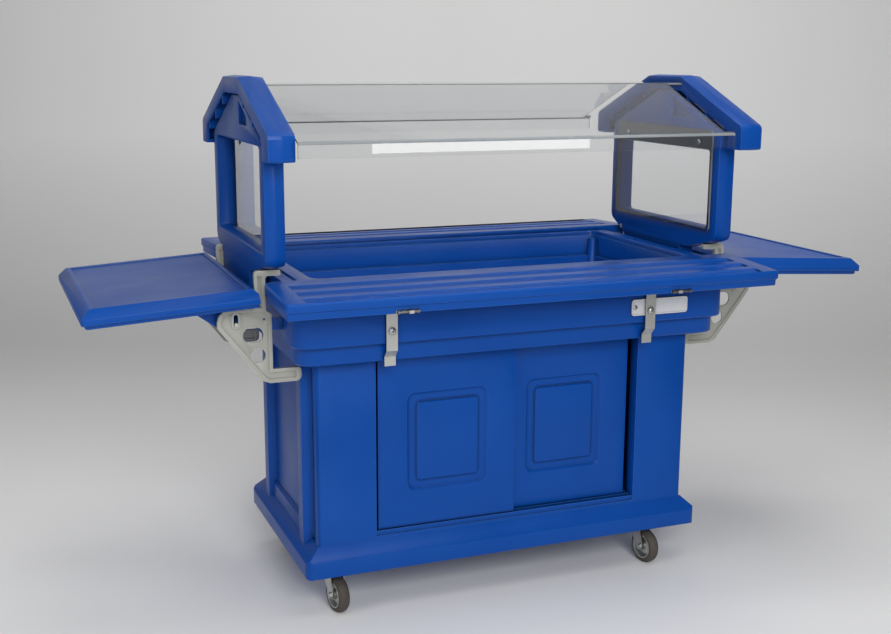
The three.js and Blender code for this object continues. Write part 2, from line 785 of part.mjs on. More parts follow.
function buildTable() {
  const plan = (inset, radius) => rectangle(
    tableInnerX - tableInnerCut + inset, tableOuterX - inset,
    -tableHalfY + inset, tableHalfY - inset, radius);
  const innerX = tableInnerX - tableInnerCut;
  const rimZ = tableTop - tableBevel - tableEdge;
  const slopes = (from, to) => [
    [from, rimZ],
    [to, rimZ],
    [to, rimZ + tableEdge],
    [to - tableBevel, tableTop],
    [from + tableBevel, tableTop],
    [from, rimZ + tableEdge],
  ];
  const slab = prism(slopes(-tableHalfY, tableHalfY), innerX, tableOuterX, { axis: "x" })
    .intersect(prism(slopes(innerX, tableOuterX), -tableHalfY, tableHalfY, { axis: "y" }))
    .intersect(prism(plan(0, tableCorner), rimZ - cutOver, tableTop + cutOver));
  const lower = prism(plan(tableSetback, tableCorner),
    tableBottom, tableTop - tableBevel, { edge: tableCorner / 3 });
  const panel = prism(plan(tableBevel + tableRim, tableCorner),
    tableTop - tableRecess, tableTop + cutOver, { steps: 3 });
  const hub = prism([
    [tableInnerX + tableBevel, tableBottom + tableLower / 2],
    [tableAxisX + hubReach, tableBottom + tableLower / 2],
    [tableAxisX + hubNose, tableAxisZ - hubNose / 2, tableCorner],
    [tableAxisX - hubNose / 3, tableAxisZ - hubNose / 2 - swingGap, tableCorner],
    [tableInnerX + tableBevel, tableAxisZ],
  ], -hubHalfY, hubHalfY, { axis: "y", edge: tableCorner / 3 });
  const rodBore = rod(tableRodRadius + touchGap, -hubHalfY - cutOver, hubHalfY + cutOver, "y",
    tableAxisX, tableAxisZ);
  const innerCut = prism(
    rectangle(tableInnerX - tableBevel, tableInnerX, -tableHalfY - cutOver, tableHalfY + cutOver),
    tableBottom - cutOver, tableTop + cutOver);
  return unite([slab, lower, hub]).subtract(panel)
    .subtract(unite([rodBore, innerCut]));
}
const rodEnd = bracketY + bracketThick / 2 + swingGap;
const tableRod = rod(tableRodRadius, -rodEnd, rodEnd, "y", 0, 0);

// ---------------------------------------------------------------- cast brackets
function buildBracket() {
  const y0 = -bracketThick / 2;
  const y1 = bracketThick / 2;
  const postInnerX = bracketPostX - bracketPostWidth;
  const armBottom = bracketArmTop - bracketArmDeep;
  const stepZ = bracketPlateTop - bracketRim;
  const profile = [
    [bracketArmTip, bracketArmTop, 3],
    [bracketPostX, bracketArmTop, 10],
    [bracketPostX, bracketPlateTop, 3],
    [bracketOuterX, bracketPlateTop, bracketOuterRound],
    [bracketOuterX, tableAxisZ - bracketRim, 14],
    [bracketFlangeX + bracketPostWidth, bracketFootZ + bracketRim, 10],
    [bracketFlangeX + bracketRim, bracketFootZ, 10],
    [bracketToeX, bracketFootZ, 13],
    [bracketToeX, bracketFootTop, 8],
    [bracketFlangeX, bracketFootTop, 3],
    [bracketFlangeX, stepZ - bracketRim, 3],
    [postInnerX, stepZ, 3],
    [postInnerX, armBottom, 8],
    [bracketArmTip, armBottom, 3],
  ];
  const inX = bracketFlangeX + bracketRim;
  const inZ = bracketFootZ + bracketRim;
  const pocketProfile = [
    [inX + bracketRim, bracketPlateTop - bracketRim, 4],
    [bracketOuterX - bracketRim, bracketPlateTop - bracketRim, bracketOuterRound - bracketRim],
    [bracketOuterX - bracketRim, tableAxisZ - bracketRim / 2, 10],
    [bracketFlangeX + bracketPostWidth - bracketRim / 2, inZ + bracketRim * 1.5, 8],
    [inX + bracketRim / 2, inZ, 5],
    [bracketToeX + bracketRim * 1.5, inZ, 5],
    [bracketToeX + bracketRim * 1.5, bracketFootTop - bracketRim, 5],
    [inX, bracketFootTop - bracketRim, 3],
    [inX, stepZ - bracketRim * 2, 4],
  ];
  const slotLow = tableAxisZ;
  const capsule = (radius) => rectangle(tableAxisX - radius, tableAxisX + radius,
    slotLow - radius, slotLow + slotRun + radius, radius * 0.96);
  const body = prism(profile, y0, y1, { axis: "y", steps: 3 });
  const depth = (bracketThick - bracketWeb) / 2;
  const pocketFront = prism(pocketProfile, y0 - cutOver, y0 + depth, { axis: "y", steps: 2 });
  const pocketBack = prism(pocketProfile, y1 - depth, y1 + cutOver, { axis: "y", steps: 2 });
  const boss = prism(capsule(slotHalf + slotBoss), y0, y1, { axis: "y", steps: 2 });
  const slot = prism(capsule(slotHalf), y0 - cutOver, y1 + cutOver, { axis: "y", steps: 2 });
  const holeX = (hole) => bracketFlangeX + hole.out;
  const holeZ = (hole) => bracketPlateTop - hole.drop;
  const holes = [
    prism(rectangle(holeX(upperHole) - upperHole.halfX, holeX(upperHole) + upperHole.halfX,
      holeZ(upperHole) - upperHole.halfZ, holeZ(upperHole) + upperHole.halfZ, upperHole.halfZ * 0.96),
    y0 - cutOver, y1 + cutOver, { axis: "y" }),
    rod(lowerHole.radius, y0 - cutOver, y1 + cutOver, "y", holeX(lowerHole), holeZ(lowerHole), 16),
    rod(fixingHole.radius, y0 - cutOver, y1 + cutOver, "y", holeX(fixingHole), holeZ(fixingHole), 8),
  ];
  const postSlot = prism(
    rectangle(postInnerX + bracketRim, bracketPostX - bracketRim, bracketPlateTop, armBottom),
    y0 - cutOver, y0 + depth, { axis: "y" });
  const postSlotBack = postSlot.translate([0, bracketThick - depth + cutOver, 0]);
  return unite([body.subtract(pocketFront).subtract(pocketBack), boss])
    .subtract(unite([postSlot, postSlotBack, slot, ...holes]));
}

// ---------------------------------------------------------------- end frames
const frameOuterX = frameInnerX + frameThick;
const frameFootZ = frameBottom + frameFootRise;
const slopeZ = (top, slope, flatHalf, y) => top - slope * Math.max(0, y - flatHalf);
const gableZ = (y) => slopeZ(gableTop, gableSlope, gableFlatHalf, y);
const capZ = (y) => slopeZ(capTop, roofSlope, capFlatHalf, y);

// "front" is the sign of Y on which the cart's front lies.
function buildFrame(holeTop, front) {
  const eavesZ = gableZ(frameHalfY);
  const half = (side, flatHalf) => [
    [side * flatHalf, frameBottom, frameFootCorner],
    [side * frameHalfY, frameFootZ, frameFootCorner],
    [side * frameHalfY, eavesZ],
    [side * gableFlatHalf, gableTop],
  ];
  const profile = [
    ...half(-front, frameFlatBack),
    ...half(front, frameFlatFront).reverse(),
  ];
  const hole = rectangle(-windowHalfY, windowHalfY, windowBottom, holeTop, windowCorner);
  const ring = prism(profile, frameInnerX, frameOuterX, { axis: "x", ridge: frameRidge, holes: [hole] });
  const tongueY = [front * tongueFront, -front * tongueBack].sort((a, b) => a - b);
  const tongue = prism(
    rectangle(...tongueY, tongueBottom, frameBottom + cutOver * 2, frameRidge),
    upperHalfX + tongueGap, frameOuterX, { axis: "x", edge: 2 });
  const recess = [
    [front * kingPostHalf, gableSill],
    [front * gableRecessEnd, gableSill],
    [front * gableRecessEnd, gableZ(gableRecessEnd) - gableBorder],
    [front * kingPostHalf, gableTop - gableBorder],
  ];
  const cuts = [
    prism(recess, frameInnerX - cutOver, frameInnerX + gableRecess, { axis: "x" }),
    prism(recess, frameOuterX - gableRecess, frameOuterX + cutOver, { axis: "x" }),
  ];
  const post = prism(
    rectangle(-kingPostHalf, kingPostHalf, gableTop - cutOver, postTop),
    frameInnerX + postInset, frameOuterX - postInset, { axis: "x" });
  const armHalf = bracketThick / 2 + slideGap;
  const armSeat = prism(
    rectangle(bracketY - armHalf, bracketY + armHalf, frameBottom - cutOver * 2, bracketArmTop + touchGap),
    frameInnerX - cutOver, frameOuterX + cutOver, { axis: "x" });
  return unite([ring, tongue, post]).subtract(unite([...cuts, armSeat, mirrorY(armSeat)]));
}

const pane = prism(
  rectangle(-paneHalfY, paneHalfY, paneBottom, paneTop, windowCorner),
  frameInnerX - touchGap - paneThick, frameInnerX - touchGap, { axis: "x" });

// ---------------------------------------------------------------- roof caps
const capOuterX = capInnerX + capThick;

function buildCap() {
  const roof = (inset, bottom) => {
    const edgeY = capHalfY - inset;
    const topZ = capTop - inset;
    const flat = capFlatHalf - inset / 3;
    const half = [
      [flat, topZ, capCorner],
      [edgeY, topZ - roofSlope * (edgeY - flat), capCorner],
      [edgeY, bottom, capCorner / 2],
    ];
    return half;
  };
  const closed = (half) => [...half, ...half.map(([y, z, r]) => [-y, z, r]).reverse()];
  const innerY = capHalfY - capEndWidth;
  const openHalf = [
    [capFlatHalf, capTop - capBand, capCorner / 2],
    [innerY, capTop - capBand - roofSlope * (innerY - capFlatHalf), capCorner / 2],
    [innerY, capBottom - cutOver],
  ];
  const below = prism(rectangle(capInnerX - cutOver, capOuterX + cutOver, -capHalfY, capHalfY),
    capBottom - cutOver * 2, capBottom);
  const outer = prism(closed(roof(capRidge, capBottom)), capInnerX, capOuterX,
    { axis: "x", ridge: capRidge, steps: 2 }).subtract(below);
  const channel = prism(closed(roof(capSkin, capBottom + capSkin)),
    capInnerX + capSide, capOuterX - capSide, { axis: "x", steps: 1 });
  const opening = prism(closed(openHalf), capInnerX - cutOver, capOuterX + cutOver, { axis: "x", steps: 1 });
  const ribs = capRibs.flatMap((y) => [-1, 1].map((side) => {
    const y0 = Math.min(side * y, side * (y + capRibThick));
    const low = (at) => gableZ(Math.min(frameHalfY, Math.abs(at))) + frameRidge + swingGap;
    const high = (at) => capZ(Math.abs(at)) - capSkin / 2;
    const y1 = y0 + capRibThick;
    return prism([[y0, low(y0)], [y1, low(y1)], [y1, high(y1)], [y0, high(y0)]],
      capInnerX + capSide / 2, capOuterX - capSide / 2, { axis: "x" });
  }));
  const tabSlot = prism(
    rectangle(-canopyRidgeHalf, canopyRidgeHalf,
      canopyTop - canopyThick - touchGap, canopyTop + touchGap),
    capInnerX - cutOver, capInnerX + canopyTab + touchGap, { axis: "x" });
  return outer.subtract(channel).subtract(opening).add(unite(ribs)).subtract(tabSlot);
}

// ---------------------------------------------------------------- canopy
function buildCanopy() {
  const t = canopyThick;
  const canopyEaves = canopyTop - canopySlope * (canopyHalfY - canopyRidgeHalf);
  const section = [
    [-canopyHalfY, canopyEaves - canopyLip],
    [-canopyHalfY + t, canopyEaves - canopyLip],
    [-canopyHalfY + t, canopyEaves - t * 0.8, canopyBend - t],
    [-canopyRidgeHalf + t * 0.2, canopyTop - t, canopyBend - t],
    [canopyRidgeHalf - t * 0.2, canopyTop - t, canopyBend - t],
    [canopyHalfY - t, canopyEaves - t * 0.8, canopyBend - t],
    [canopyHalfY - t, canopyEaves - canopyLip],
    [canopyHalfY, canopyEaves - canopyLip],
    [canopyHalfY, canopyEaves, canopyBend],
    [canopyRidgeHalf, canopyTop, canopyBend],
    [-canopyRidgeHalf, canopyTop, canopyBend],
    [-canopyHalfY, canopyEaves, canopyBend],
  ];
  const halfX = capInnerX + canopyTab;
  const sheet = prism(section, -halfX, halfX, { axis: "x" });
  const cut = (y0, y1, fromX) => prism(
    rectangle(fromX, halfX + cutOver, y0, y1),
    canopyEaves - canopyLip - cutOver, canopyTop + cutOver);
  const slopeEnd = canopyHalfY - t - canopyBend;
  const tabHalf = canopyRidgeHalf - swingGap;
  const rightTrim = cut(tabHalf, slopeEnd, capInnerX - canopySlopeShort)
    .add(cut(tabHalf, canopyHalfY + cutOver, capInnerX - canopyLipShort));
  const leftTrim = mirrorX(cut(tabHalf, canopyHalfY + cutOver, capInnerX - canopyEndGap));
  return sheet.subtract(unite([rightTrim, leftTrim, mirrorY(rightTrim), mirrorY(leftTrim)]));
}
addNode("canopy", buildCanopy(), "clear");

// ---------------------------------------------------------------- casters
const raceTop = floorGap - touchGap - casterPlateThick;
const forkTop = raceTop - casterPlateThick;
const forkHalfInner = wheelWidth / 2 + slideGap;

function buildCasterPlate() {
  const plate = prism(
    rectangle(-casterPlateX, casterPlateX, -casterPlateY, casterPlateY, casterPlateThick * 1.5),
    raceTop, floorGap - touchGap);
  const race = rod(casterRaceRadius, forkTop, raceTop + casterPlateThick / 2, "z", 0, 0, 16);
  const kingPin = rod(axleRadius, forkTop - forkDiscThick - slideGap, raceTop, "z", 0, 0, 12);
  const nut = rod(axleHead, forkTop - forkDiscThick - slideGap * 2, forkTop - forkDiscThick - touchGap * 2,
    "z", 0, 0, 6);
  return unite([plate, race, kingPin, nut]);
}

// The fork is drawn with the wheel trailing towards +X, its axle along Y.
function buildFork() {
  const discTop = forkTop - touchGap;
  const disc = rod(forkDisc, discTop - forkDiscThick, discTop, "z", 0, 0, 16);
  const side = prism([
    [-forkTopWidth / 2, discTop],
    [forkTopWidth, discTop],
    [casterTrail + forkEyeRadius, wheelRadius, 0],
    [casterTrail + forkEyeRadius * 0.7, wheelRadius - forkEyeRadius * 0.7],
    [casterTrail, wheelRadius - forkEyeRadius],
    [casterTrail - forkEyeRadius * 0.7, wheelRadius - forkEyeRadius * 0.7],
    [-forkTopWidth / 2, discTop - forkDiscThick * 2],
  ], forkHalfInner, forkHalfInner + forkSide, { axis: "y" });
  const axleHole = rod(axleRadius + touchGap, -wheelWidth, wheelWidth, "y", casterTrail, wheelRadius, 12);
  const pinHole = rod(axleRadius + touchGap * 2, discTop - forkDiscThick * 2, discTop + cutOver, "z", 0, 0, 12);
  return unite([disc, side, mirrorY(side)]).subtract(unite([axleHole, pinHole]));
}

function buildWheel() {
  const half = wheelWidth / 2;
  const rimRadius = wheelRadius - tyreDepth;
  const wheel = lathe([
    [wheelBore, -half],
    [wheelHub, -half],
    [wheelHub, -half / 2],
    [rimRadius - tyreDepth / 2, -half / 2],
    [rimRadius, -half],
    [wheelRadius, -half / 2],
    [wheelRadius, half / 2],
    [rimRadius, half],
    [rimRadius - tyreDepth / 2, half / 2],
    [wheelHub, half / 2],
    [wheelHub, half],
    [wheelBore, half],
  ], 20);
  return wheel.rotate([90, 0, 0]);
}

function buildAxle() {
  const reach = forkHalfInner + forkSide + touchGap;
  const shank = rod(axleRadius, -reach - axleHeadThick / 2, reach + axleHeadThick / 2, "y", 0, 0, 12);
  const head = rod(axleHead, reach, reach + axleHeadThick, "y", 0, 0, 6);
  return unite([shank, head, mirrorY(head)]);
}

// Each caster stands at its corner, its fork turned on the king pin and its wheel behind.
const casterHeading = -90 + casterYaw;
[
  ["front_left", -casterLeftX, -casterY],
  ["front_right", casterRightX, -casterY],
  ["back_left", -casterLeftX, casterY],
  ["back_right", casterRightX, casterY],
].forEach(([spot, x, y]) => {
  const corner = addGroup(group, [x, y, 0]);
  const swivel = addGroup(corner, [0, 0, 0], [0, 0, casterHeading]);
  const wheelPlace = addGroup(swivel, [casterTrail, 0, wheelRadius]);
  addNode(`caster_plate_${spot}`, buildCasterPlate(), "zinc", corner);
  addNode(`caster_fork_${spot}`, buildFork(), "zinc", swivel);
  addNode(`caster_wheel_${spot}`, buildWheel(), "tyre", wheelPlace);
  addNode(`caster_axle_${spot}`, buildAxle(), "zinc", wheelPlace);
});

// ---------------------------------------------------------------- the two long sides
// One side's pieces are drawn at the back; the front side is the same group turned round.
function addSide(name, turn, lift, droop) {
  const side = addGroup(group, [0, 0, lift], [0, 0, turn]);
  const folding = addGroup(side, [0, railAxisY, railAxisZ], [-droop, 0, 0]);
  const toHinge = (solid) => solid.translate([0, -railAxisY, -railAxisZ]);
  addNode(`tray_rail_${name}`, toHinge(buildRail()), "blue", folding);
  const hands = turn === 0 ? ["right", "left"] : ["left", "right"];
  hands.forEach((hand, index) => {
    const handed = (solid) => (index === 0 ? solid : mirrorX(solid));
    addNode(`rail_strap_${name}_${hand}`, handed(buildStrap()), "zinc", side);
    addNode(`strap_bolt_${name}_${hand}`, handed(buildBolt()), "zinc", side);
    addNode(`rail_arm_${name}_${hand}`, toHinge(handed(buildArm())), "zinc", folding);
    addNode(`rail_cross_rod_${name}_${hand}`, toHinge(handed(buildCrossRod())), "zinc", folding);
  });
}
addSide("front", 180, 0, railDroop);
addSide("back", 0, backLift, backDroop);

// ---------------------------------------------------------------- the two ends
// One end's pieces are drawn at the right; the left end is the same group turned round.
function addEnd(name, turn, holeTop) {
  const end = addGroup(group, [0, 0, 0], [0, 0, turn]);
  const folding = addGroup(end, [tableAxisX, 0, tableAxisZ], [0, tableDroop, 0]);
  const front = turn === 0 ? -1 : 1;
  addNode(`end_table_${name}`, buildTable().translate([-tableAxisX, 0, -tableAxisZ]), "blue", folding);
  addNode(`table_rod_${name}`, tableRod, "zinc", folding);
  [["front", front], ["back", -front]].forEach(([place, side]) => {
    const carrier = addGroup(end, [0, side * bracketY, 0]);
    addNode(`end_bracket_${place}_${name}`, buildBracket(), "cast", carrier);
  });
  addNode(`end_frame_${name}`, buildFrame(holeTop, front), "blue", end);
  addNode(`side_pane_${name}`, pane, "clear", end);
  addNode(`roof_cap_${name}`, buildCap(), "blue", end);
}
addEnd("left", 180, windowTop);
addEnd("right", 0, windowTopRight);

export default group;
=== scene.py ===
"""Looks of a mobile salad bar: moulded plastic, clear sheet, cast and zinc-plated metal."""

from __future__ import annotations

import json
import logging
import math
from dataclasses import dataclass, field, replace
from enum import Enum
from typing import Callable, Sequence

import bmesh
import bpy
from mathutils import Matrix, Vector

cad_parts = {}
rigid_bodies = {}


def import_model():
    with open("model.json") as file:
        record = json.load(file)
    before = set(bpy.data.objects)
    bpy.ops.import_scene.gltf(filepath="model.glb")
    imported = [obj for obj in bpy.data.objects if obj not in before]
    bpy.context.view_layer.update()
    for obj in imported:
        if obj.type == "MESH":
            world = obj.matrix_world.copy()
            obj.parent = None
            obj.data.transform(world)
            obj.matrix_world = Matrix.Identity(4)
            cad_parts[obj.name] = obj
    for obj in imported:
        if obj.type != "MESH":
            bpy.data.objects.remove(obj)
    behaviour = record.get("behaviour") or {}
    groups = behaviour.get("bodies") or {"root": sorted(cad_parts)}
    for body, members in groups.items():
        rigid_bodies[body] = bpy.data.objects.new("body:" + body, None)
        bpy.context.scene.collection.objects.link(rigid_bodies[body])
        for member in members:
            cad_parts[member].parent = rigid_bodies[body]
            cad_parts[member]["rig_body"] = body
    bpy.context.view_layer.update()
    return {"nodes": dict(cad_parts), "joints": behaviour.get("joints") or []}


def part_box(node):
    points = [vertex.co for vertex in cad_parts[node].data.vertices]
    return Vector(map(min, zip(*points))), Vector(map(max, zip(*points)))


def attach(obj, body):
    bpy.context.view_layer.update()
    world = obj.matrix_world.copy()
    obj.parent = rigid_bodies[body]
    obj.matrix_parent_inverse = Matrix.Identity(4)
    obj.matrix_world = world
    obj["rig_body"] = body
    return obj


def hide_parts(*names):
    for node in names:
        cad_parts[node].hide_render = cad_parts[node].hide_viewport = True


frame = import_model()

CORNERS = ("front_left", "front_right", "back_left", "back_right")
BROAD_FACE = 0.0025
FOLD_LEAST = math.radians(3.0)
WELD_GAP = 2e-5
FLAT_ANGLE = math.radians(0.5)
EDGE_STEPS = 2
RING_WELD = 1e-6
RIM_CREASE = math.radians(30)
SCREW_STEPS = 24
CROSS_TURN = math.radians(20)
GRAIN_HEIGHT = 0.0005
HAZE_SPREAD = 2.5
LOG = logging.getLogger("salad_bar")

Colour = tuple[float, float, float]
Point = tuple[float, float, float]


class Side(Enum):
    """An end or side of the cart, with its sign."""

    LEFT = -1
    RIGHT = 1


class MixSocket(Enum):
    """The sockets of a colour mix node, by index."""

    FACTOR = 0
    FIRST = 6
    SECOND = 7
    RESULT = 2


# ---------------------------------------------------------------- shader building blocks
class Graph:
    """A node tree being filled."""

    def __init__(self, tree: bpy.types.NodeTree) -> None:
        """Starts on an empty tree.

        Args:
            tree: The material's or group's node tree.
        """
        self.tree = tree
        self.tree.nodes.clear()

    def add(self, kind: str, **inputs: object) -> bpy.types.Node:
        """Adds a node and sets or links its inputs.

        Args:
            kind: Blender's node type name.
            inputs: Input values or output sockets, spaces written as underscores.

        Returns:
            The new node.
        """
        node = self.tree.nodes.new(kind)
        for name, value in inputs.items():
            self.feed(node, name.replace("_", " "), value)
        return node

    def feed(self, node: bpy.types.Node, name: str | int, value: object) -> None:
        """Sets an input, or links it when given a socket.

        Args:
            node: The node that takes the value.
            name: The input's name or index.
            value: A number, colour or output socket.
        """
        socket = node.inputs[name]
        if isinstance(value, bpy.types.NodeSocket):
            self.tree.links.new(value, socket)
        else:
            socket.default_value = value

    def ramp(
        self, value: bpy.types.NodeSocket, low: object, high: object
    ) -> bpy.types.NodeSocket:
        """Maps a value between two limits to 0 and 1.

        Args:
            value: The value to map.
            low: The number or socket that becomes 0.
            high: The number or socket that becomes 1.

        Returns:
            The mapped output.
        """
        node = self.add("ShaderNodeMapRange", Value=value, From_Min=low, From_Max=high)
        return node.outputs["Result"]

    def blend(self, factor: object, first: object, second: object) -> bpy.types.NodeSocket:
        """Mixes two colours.

        Args:
            factor: The share of the second colour.
            first: The first colour or socket.
            second: The second colour or socket.

        Returns:
            The mixed colour.
        """
        node = self.tree.nodes.new("ShaderNodeMix")
        node.data_type = "RGBA"
        pairs = ((MixSocket.FACTOR, factor), (MixSocket.FIRST, first), (MixSocket.SECOND, second))
        for socket, value in pairs:
            self.feed(node, socket.value, value)
        return node.outputs[MixSocket.RESULT.value]


def opaque(colour: Colour) -> tuple[float, float, float, float]:
    """Adds full opacity to a colour."""
    return (*colour, 1.0)


def make_group(
    name: str,
    inputs: Sequence[tuple[str, str, float]],
    outputs: Sequence[tuple[str, str]],
    fill: Callable[[Graph, bpy.types.Node, bpy.types.Node], None],
) -> bpy.types.NodeTree:
    """Makes a shared shader group once.

    Args:
        name: The group's name.
        inputs: Name, socket type and default of each input.
        outputs: Name and socket type of each output.
        fill: Builds the nodes between the group's ends.

    Returns:
        The group's tree.
    """
    if name in bpy.data.node_groups:
        return bpy.data.node_groups[name]
    tree = bpy.data.node_groups.new(name, "ShaderNodeTree")
    graph = Graph(tree)
    for title, kind, default in inputs:
        socket = tree.interface.new_socket(title, in_out="INPUT", socket_type=kind)
        socket.default_value = default
    for title, kind in outputs:
        tree.interface.new_socket(title, in_out="OUTPUT", socket_type=kind)
    start = tree.nodes.new("NodeGroupInput")
    end = tree.nodes.new("NodeGroupOutput")
    fill(graph, start, end)
    return tree


def fine_bump_group() -> bpy.types.NodeTree:
    """Pebbled surface of a moulding, as a height."""

    def fill(graph: Graph, start: bpy.types.Node, end: bpy.types.Node) -> None:
        """Builds two sizes of noise."""
        place = graph.add("ShaderNodeTexCoord").outputs["Object"]
        fine = graph.add("ShaderNodeTexNoise", Vector=place, Scale=start.outputs["Scale"])
        wide = graph.add("ShaderNodeTexNoise", Vector=place, Scale=9.0)
        share = graph.add("ShaderNodeMath", Value=wide.outputs["Fac"])
        share.operation = "MULTIPLY"
        graph.feed(share, 1, start.outputs["Wave"])
        total = graph.add("ShaderNodeMath")
        total.operation = "ADD"
        graph.feed(total, 0, fine.outputs["Fac"])
        graph.feed(total, 1, share.outputs[0])
        graph.feed(end, "Height", total.outputs[0])

    return make_group(
        "fine_bump",
        (("Scale", "NodeSocketFloat", 600.0), ("Wave", "NodeSocketFloat", 2.0)),
        (("Height", "NodeSocketFloat"),),
        fill,
    )


def cloudy_group() -> bpy.types.NodeTree:
    """Slow variation over a surface, 0 to 1."""

    def fill(graph: Graph, start: bpy.types.Node, end: bpy.types.Node) -> None:
        """Builds a soft noise."""
        place = graph.add("ShaderNodeTexCoord").outputs["Object"]
        noise = graph.add(
            "ShaderNodeTexNoise", Vector=place, Scale=start.outputs["Scale"], Detail=4.0
        )
        graph.feed(end, "Value", graph.ramp(noise.outputs["Fac"], 0.35, 0.65))

    return make_group(
        "cloudy",
        (("Scale", "NodeSocketFloat", 4.0),),
        (("Value", "NodeSocketFloat"),),
        fill,
    )


def edge_group() -> bpy.types.NodeTree:
    """Mask of the edges that get a painted highlight."""

    def fill(graph: Graph, start: bpy.types.Node, end: bpy.types.Node) -> None:
        """Compares the rounded normal with the true one."""
        rounded = graph.add("ShaderNodeBevel", Radius=start.outputs["Width"])
        rounded.samples = 4
        true = graph.add("ShaderNodeNewGeometry").outputs["Normal"]
        dot = graph.add("ShaderNodeVectorMath")
        dot.operation = "DOT_PRODUCT"
        graph.feed(dot, 0, rounded.outputs["Normal"])
        graph.feed(dot, 1, true)
        graph.feed(end, "Edge", graph.ramp(dot.outputs["Value"], 1.0, 0.8))

    return make_group(
        "worn_edge",
        (("Width", "NodeSocketFloat", 0.003),),
        (("Edge", "NodeSocketFloat"),),
        fill,
    )


def crevice_group() -> bpy.types.NodeTree:
    """How open a spot is, 0 in a crevice and 1 on an open face; it places painted shade."""

    def fill(graph: Graph, start: bpy.types.Node, end: bpy.types.Node) -> None:
        """Reads the near occlusion."""
        near = graph.add("ShaderNodeAmbientOcclusion", Distance=start.outputs["Reach"])
        near.samples = 6
        graph.feed(end, "Open", graph.ramp(near.outputs["AO"], start.outputs["Deep"], 0.95))

    return make_group(
        "crevice",
        (("Reach", "NodeSocketFloat", 0.01), ("Deep", "NodeSocketFloat", 0.25)),
        (("Open", "NodeSocketFloat"),),
        fill,
    )


# ---------------------------------------------------------------- finishes
@dataclass(frozen=True)
class Finish:
    """A surface finish with its colour, gloss and texture.

    The tint clouds the colour; edge and edge_width set the colour and width of a painted
    highlight along edges; reach, shade and deep set how far, how dark and how soon
    painted shade darkens crevices.
    """

    name: str
    colour: Colour
    tint: Colour
    edge: Colour
    roughness: float = 0.42
    roughness_spread: float = 0.1
    metallic: float = 0.0
    specular: float = 0.5
    bump: float = 0.1
    grain: float = 600.0
    wave: float = 1.0
    edge_width: float = 0.003
    reach: float = 0.012
    shade: float = 0.35
    deep: float = 0.25

    def material(self) -> bpy.types.Material:
        """Makes the material once.

        Returns:
            The finish's material.
        """
        if self.name in bpy.data.materials:
            return bpy.data.materials[self.name]
        made = bpy.data.materials.new(self.name)
        made.use_nodes = True
        graph = Graph(made.node_tree)
        cloud = graph.add("ShaderNodeGroup")
        cloud.node_tree = cloudy_group()
        edge_highlight = graph.add("ShaderNodeGroup")
        edge_highlight.node_tree = edge_group()
        edge_highlight.inputs["Width"].default_value = self.edge_width
        pebble = graph.add("ShaderNodeGroup")
        pebble.node_tree = fine_bump_group()
        pebble.inputs["Scale"].default_value = self.grain
        pebble.inputs["Wave"].default_value = self.wave
        crevice = graph.add("ShaderNodeGroup")
        crevice.node_tree = crevice_group()
        crevice.inputs["Reach"].default_value = self.reach
        crevice.inputs["Deep"].default_value = self.deep
        open_face = graph.blend(cloud.outputs["Value"], opaque(self.colour), opaque(self.tint))
        # Painted shade: crevices darken toward a darker copy of the colour, by near occlusion.
        deep = opaque(tuple(value * self.shade for value in self.colour))
        body = graph.blend(crevice.outputs["Open"], deep, open_face)
        # Painted highlight: edges blend toward the lighter edge colour.
        base = graph.blend(edge_highlight.outputs["Edge"], body, opaque(self.edge))
        rough = graph.add(
            "ShaderNodeMapRange",
            Value=cloud.outputs["Value"],
            To_Min=self.roughness - self.roughness_spread / 2,
            To_Max=self.roughness + self.roughness_spread / 2,
        )
        bump = graph.add(
            "ShaderNodeBump",
            Height=pebble.outputs["Height"],
            Strength=self.bump,
            Distance=GRAIN_HEIGHT,
        )
        shader = graph.add(
            "ShaderNodeBsdfPrincipled",
            Base_Color=base,
            Roughness=rough.outputs["Result"],
            Metallic=self.metallic,
            Specular_IOR_Level=self.specular,
            Normal=bump.outputs["Normal"],
        )
        graph.add("ShaderNodeOutputMaterial", Surface=shader.outputs["BSDF"])
        return made


@dataclass(frozen=True)
class ClearFinish:
    """Clear sheet with faint handling haze."""

    name: str
    colour: Colour = (0.965, 0.975, 0.98)
    roughness: float = 0.008
    ior: float = 1.49

    def material(self) -> bpy.types.Material:
        """Makes the clear material once.

        Returns:
            The material.
        """
        if self.name in bpy.data.materials:
            return bpy.data.materials[self.name]
        made = bpy.data.materials.new(self.name)
        made.use_nodes = True
        graph = Graph(made.node_tree)
        cloud = graph.add("ShaderNodeGroup")
        cloud.node_tree = cloudy_group()
        rough = graph.add(
            "ShaderNodeMapRange",
            Value=cloud.outputs["Value"],
            To_Min=self.roughness,
            To_Max=self.roughness * HAZE_SPREAD,
        )
        shader = graph.add(
            "ShaderNodeBsdfPrincipled",
            Base_Color=opaque(self.colour),
            Roughness=rough.outputs["Result"],
            Transmission_Weight=1.0,
            IOR=self.ior,
        )
        graph.add("ShaderNodeOutputMaterial", Surface=shader.outputs["BSDF"])
        return made


# Each finish paints shade into crevices (reach, shade, deep) and a highlight along edges (edge,
# edge_width).
BLUE = Finish(
    "blue_moulding",
    (0.001, 0.056, 0.300),
    (0.002, 0.063, 0.328),
    (0.060, 0.185, 0.52),
    roughness=0.33,
    specular=0.175,
    edge_width=0.0022,
    reach=0.02,
    shade=0.22,
)
